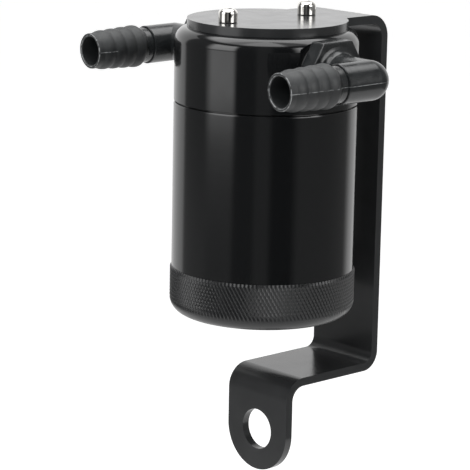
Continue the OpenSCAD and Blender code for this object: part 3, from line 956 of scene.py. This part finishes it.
# The camera stands where the photo was taken: metres, degrees, and the photo's pixels
CAMERA_PLACE = (-0.68125, -0.7044, 0.2982)
CAMERA_AZIMUTH, CAMERA_ELEVATION, CAMERA_ROLL = (math.radians(angle) for angle in (-43.27, 12.38, 1.15))
PHOTO_W, FOCAL_LENGTH, SHIFT_X, SHIFT_Y = 470, 2406.5, -0.3, 0.15

FLOOR_Z, SCREEN_LOW, CANOPY_Z = -0.35, -0.34, 1.25
SCREEN_R, SCREEN_H = 0.9, 1.2

# The panels on the round screen, which only reflections see. Each has its edges in degrees, clockwise from
# the camera as seen from above, and its level, where 1 is white, at each of the heights in PANEL_Z.
PANEL_Z = (0.84, 0.72, 0.22, 0.11, 0.052, -0.001, -0.01, -0.1)
PANEL_PEAK = 5.0
PANELS = {
    "backdrop_left": (-180, -121, (1.15, 1.15, 1.2, 1.1, 1.05, 1.0, 1.0, 1.0)),
    "left_flag": (-116, -80, (0.2, 0.2, 0.2, 0.2, 0.2, 0.2, 0.2, 0.3)),
    "left_softbox": (-70, -42, (0.15, 4.5, 3.5, 0.4, 2.1, 2.1, 0.4, 0.22)),
    "front_flag_left": (-37, -16, (0.06,) * len(PANEL_Z)),
    "camera_gap": (-10, 3, (0.2,) * len(PANEL_Z)),
    "front_flag_right": (9, 32, (0.01,) * len(PANEL_Z)),
    "right_softbox": (42, 66, (0.15, 5.0, 4.0, 0.2, 0.24, 0.24, 0.24, 0.24)),
    "right_flag": (73, 118, (0.15, 0.3, 0.3, 0.2, 0.24, 0.24, 0.24, 0.24)),
    "backdrop_right": (132, 180, (1.15, 1.15, 1.2, 1.0, 0.95, 0.95, 1.0, 1.05)),
}

# Levels of the canopy by the distance from the can's axis, and by the same directions
CANOPY_OUTWARDS = ((0, 4.0), (0.82, 4.0), (1.02, 0.7), (1.08, 0.15), (1.5, 0.15))
CANOPY_AROUND = ((-180, 1.0), (-80, 1.0), (-68, 0.6), (-48, 0.6), (-36, 1.0), (24, 1.0), (34, 0.25), (68, 0.25),
                 (80, 1.0), (180, 1.0))

# Levels of the table's glow by the distance in front of the can's axis
TABLE_FORWARDS = ((-0.9, 1.0), (0.1, 1.2), (0.45, 1.2), (0.9, 0.7))
EVEN = ((-180, 1.0), (180, 1.0))


def camera_axes():
    """Right, up and back of the camera, from its azimuth, elevation and roll."""
    back = Vector((math.sin(CAMERA_AZIMUTH) * math.cos(CAMERA_ELEVATION),
                   -math.cos(CAMERA_AZIMUTH) * math.cos(CAMERA_ELEVATION), math.sin(CAMERA_ELEVATION)))
    level = Vector((math.cos(CAMERA_AZIMUTH), math.sin(CAMERA_AZIMUTH), 0))
    up = back.cross(level)
    cos_roll, sin_roll = math.cos(CAMERA_ROLL), math.sin(CAMERA_ROLL)
    return level * cos_roll + up * sin_roll, up * cos_roll - level * sin_roll, back


def flat_axes():
    """Right and towards the camera, both level."""
    right, _, back = camera_axes()
    return Vector((right.x, right.y, 0)).normalized(), Vector((back.x, back.y, 0)).normalized()


def photo_camera(scene):
    """Sets the camera that the photo was fitted with."""
    lens = bpy.data.cameras.new("camera")
    lens.sensor_width = 36
    lens.lens = lens.sensor_width * FOCAL_LENGTH / PHOTO_W
    lens.shift_x, lens.shift_y = SHIFT_X / PHOTO_W, SHIFT_Y / PHOTO_W
    lens.clip_start = 0.01
    camera = bpy.data.objects.new("camera", lens)
    scene.collection.objects.link(camera)
    camera.matrix_world = Matrix.Translation(CAMERA_PLACE) @ Matrix(camera_axes()).transposed().to_4x4()
    scene.camera = camera


def seen_directly(tree):
    """1 for camera, glossy and transmission rays, which see the background itself."""
    rays = add_node(tree, "LightPath").node.outputs
    either = add_node(tree, "Math", {0: rays["Is Camera Ray"], 1: rays["Is Glossy Ray"]}, operation="MAXIMUM")
    return add_node(tree, "Math", {0: either, 1: rays["Is Transmission Ray"]}, operation="MAXIMUM")


def white_world():
    """Plain white to the camera and in reflections, and a soft level of light on everything else."""
    world = bpy.data.worlds.new("studio_air")
    bpy.context.scene.world = world
    world.use_nodes = True
    tree = world.node_tree
    tree.nodes.clear()
    air = add_node(tree, "Background", {"Color": linear("#ffffff"), "Strength": 0.45})
    white = add_node(tree, "Background", {"Color": linear("#ffffff"), "Strength": 1.0})
    mixed = add_node(tree, "MixShader", {0: seen_directly(tree), 1: air, 2: white})
    add_node(tree, "OutputWorld", {"Surface": mixed})


def pale_floor():
    """A pale paper floor, white to the eye where no shadow falls on it."""
    floor = added("floor", bpy.ops.mesh.primitive_plane_add, size=14, location=(0, 0, FLOOR_Z))
    material, tree, shader = surface("pale_paper", linear("#e6e6e6"), Roughness=0.9)
    dark = add_node(tree, "Emission", {"Color": linear("#000000"), "Strength": 0.0})
    lift = add_node(tree, "Emission", {"Color": linear("#ffffff"), "Strength": 0.6})
    share = add_node(tree, "MixShader", {0: seen_directly(tree), 1: dark, 2: lift})
    both = add_node(tree, "AddShader", {0: shader.outputs[0], 1: share})
    output = next(node for node in tree.nodes if node.type == "OUTPUT_MATERIAL")
    tree.links.new(both, output.inputs["Surface"])
    floor.data.materials.append(material)


def from_can_axis(tree):
    """Object coordinates from the foot of the can's axis."""
    where = add_node(tree, "TexCoord", output="Object")
    return add_node(tree, "VectorMath", {0: where, 1: (CAN_X, 0, 0)}, operation="SUBTRACT")


def turn_share(tree, place):
    """0 to 1 once round the can's axis, with the camera in the middle."""
    across, along = (add_node(tree, "VectorMath", {0: place, 1: axis}, "Value", operation="DOT_PRODUCT")
                     for axis in flat_axes())
    angle = add_node(tree, "Math", {0: across, 1: along}, operation="ARCTAN2")
    return add_node(tree, "Math", {0: angle, 1: 1 / (2 * math.pi), 2: 0.5}, operation="MULTIPLY_ADD")


def level_ramp(tree, where, levels, span):
    """A share of PANEL_PEAK, from pairs of place and level along a span that is centred on 0."""
    ramp = add_node(tree, "ValToRGB", {"Fac": where})
    stops = ramp.node.color_ramp.elements
    greys = [(place / span + 0.5, [level / PANEL_PEAK] * 3 + [1]) for place, level in levels]
    for place, grey in greys[1:-1]:
        stops.new(place).color = grey
    for stop, (place, grey) in ((stops[0], greys[0]), (stops[-1], greys[-1])):
        stop.position, stop.color = place, grey
    return ramp


def panel_levels(row):
    """Pairs of direction and level round the screen, at one of the heights in PANEL_Z."""
    return [(degrees, levels[row]) for start, stop, levels in PANELS.values() for degrees in (start, stop)]


def only_in_reflections(panel, material):
    """Covers a panel, and hides it from everything but reflections."""
    panel.data.materials.append(material)
    for ray in ("camera", "diffuse", "transmission", "shadow"):
        setattr(panel, "visible_" + ray, False)


def level_panel(name, height, size, measure, levels, around):
    """A level panel over or under the object, whose light changes with a length and round the can's axis.

    measure is LENGTH for the distance from the axis, and DOT_PRODUCT for the distance in front of it.
    """
    panel = added(name, bpy.ops.mesh.primitive_plane_add, size=size, location=(CAN_X, 0, height))
    bpy.ops.object.transform_apply()
    material, tree = empty_material(name)
    place = from_can_axis(tree)
    flat = add_node(tree, "VectorMath", {0: place, 1: (0, 0, height)}, operation="SUBTRACT")
    length = add_node(tree, "VectorMath", {0: flat, 1: flat_axes()[1]}, "Value", operation=measure)
    share = add_node(tree, "Math", {0: length, 1: 1 / size, 2: 0.5}, operation="MULTIPLY_ADD")
    light = add_node(tree, "Mix", {
        "Factor": 1.0, 6: level_ramp(tree, share, levels, size),
        7: level_ramp(tree, turn_share(tree, place), around, 360)}, 2, data_type="RGBA", blend_type="MULTIPLY")
    glow = add_node(tree, "Emission", {"Color": light, "Strength": PANEL_PEAK ** 2})
    add_node(tree, "OutputMaterial", {"Surface": glow})
    only_in_reflections(panel, material)


def reflection_screen():
    """A round screen of soft white and dark panels that shows only in reflections."""
    screen = added("reflection_panels", bpy.ops.mesh.primitive_cylinder_add, vertices=180, radius=SCREEN_R,
                   depth=SCREEN_H, end_fill_type="NOTHING", location=(CAN_X, 0, SCREEN_LOW + SCREEN_H / 2))
    bpy.ops.object.transform_apply()
    material, tree = empty_material("panel_cloth")
    place = from_can_axis(tree)
    share = turn_share(tree, place)
    z = add_node(tree, "SeparateXYZ", {0: place}, "Z")
    light = level_ramp(tree, share, panel_levels(0), 360)
    for row, (above, below) in enumerate(zip(PANEL_Z, PANEL_Z[1:]), 1):
        down = add_node(tree, "MapRange", {"Value": z, "From Min": above, "From Max": below})
        light = add_node(tree, "Mix", {
            "Factor": down, 6: light, 7: level_ramp(tree, share, panel_levels(row), 360)}, 2, data_type="RGBA")
    glow = add_node(tree, "Emission", {"Color": light, "Strength": PANEL_PEAK})
    add_node(tree, "OutputMaterial", {"Surface": glow})
    only_in_reflections(screen, material)


def soft_light(name, place, size, watts):
    """A square softbox that shines on the top of the tube and leaves reflections to the panels."""
    lamp = added(name, bpy.ops.object.light_add, type="AREA", location=place)
    lamp.data.size = size
    lamp.data.energy = watts
    lamp.rotation_euler = (Vector((CAN_X, 0, TUBE_HIGH.z)) - Vector(place)).to_track_quat("-Z", "Y").to_euler()
    lamp.visible_camera = lamp.visible_glossy = False


class CATCHCAN_OT_stage(bpy.types.Operator):
    """Sets the camera, the pale floor, the lights and the panels that the gloss reflects"""

    bl_idname = "catch_can.stage"
    bl_label = "Studio"

    def execute(self, context):
        white_world()
        pale_floor()
        reflection_screen()
        level_panel("canopy", CANOPY_Z, 3, "LENGTH", CANOPY_OUTWARDS, CANOPY_AROUND)
        level_panel("table_glow", FLOOR_Z + 0.005, 1.8, "DOT_PRODUCT", TABLE_FORWARDS, EVEN)
        right, forwards = flat_axes()
        overhead = Vector((CAN_X, 0, CANOPY_Z)) + forwards * 0.12 - right * 0.05
        soft_light("overhead_softbox", overhead, 0.75, 10.6)
        soft_light("key_softbox", (-0.9, -0.35, 0.75), 0.6, 6)
        photo_camera(context.scene)
        context.scene.view_settings.view_transform = "Standard"
        return {"FINISHED"}


class CATCHCAN_PT_panel(bpy.types.Panel):
    """Lists the pieces of the catch can and its sizes and colours"""

    bl_idname = "CATCHCAN_PT_panel"
    bl_label = "Oil catch can"
    bl_space_type = "VIEW_3D"
    bl_region_type = "UI"
    bl_category = "Catch Can"

    def draw(self, context):
        for operator in BUILD_ORDER:
            self.layout.operator(operator.bl_idname)
        for name in PROPERTY_GROUPS:
            box = self.layout.box()
            group = getattr(context.scene, name)
            for size in group.__annotations__:
                box.prop(group, size)


PROPERTY_GROUPS = {
    "catch_can_bracket": CatchCanBracketSizes,
    "catch_can_body": CatchCanBodySizes,
    "catch_can_elbows": CatchCanElbowSizes,
    "catch_can_colours": CatchCanColours,
}
BUILD_ORDER = (CATCHCAN_OT_stage, CATCHCAN_OT_bracket, CATCHCAN_OT_screws, CATCHCAN_OT_head, CATCHCAN_OT_tube,
               CATCHCAN_OT_cap, CATCHCAN_OT_elbows, CATCHCAN_OT_inner_finishes)
CLASSES = (*PROPERTY_GROUPS.values(), *BUILD_ORDER, CATCHCAN_PT_panel)


def register():
    """Registers the classes and hangs their sizes and colours on the scene."""
    for cls in CLASSES:
        bpy.utils.register_class(cls)
    for name, group in PROPERTY_GROUPS.items():
        setattr(bpy.types.Scene, name, PointerProperty(type=group))


def unregister():
    """Takes away what register added."""
    for name in PROPERTY_GROUPS:
        delattr(bpy.types.Scene, name)
    for cls in reversed(CLASSES):
        bpy.utils.unregister_class(cls)


def main():
    """Builds the whole scene."""
    register()
    for operator in BUILD_ORDER:
        group, name = operator.bl_idname.split(".")
        getattr(getattr(bpy.ops, group), name)()


if __name__ == "__main__":
    main()
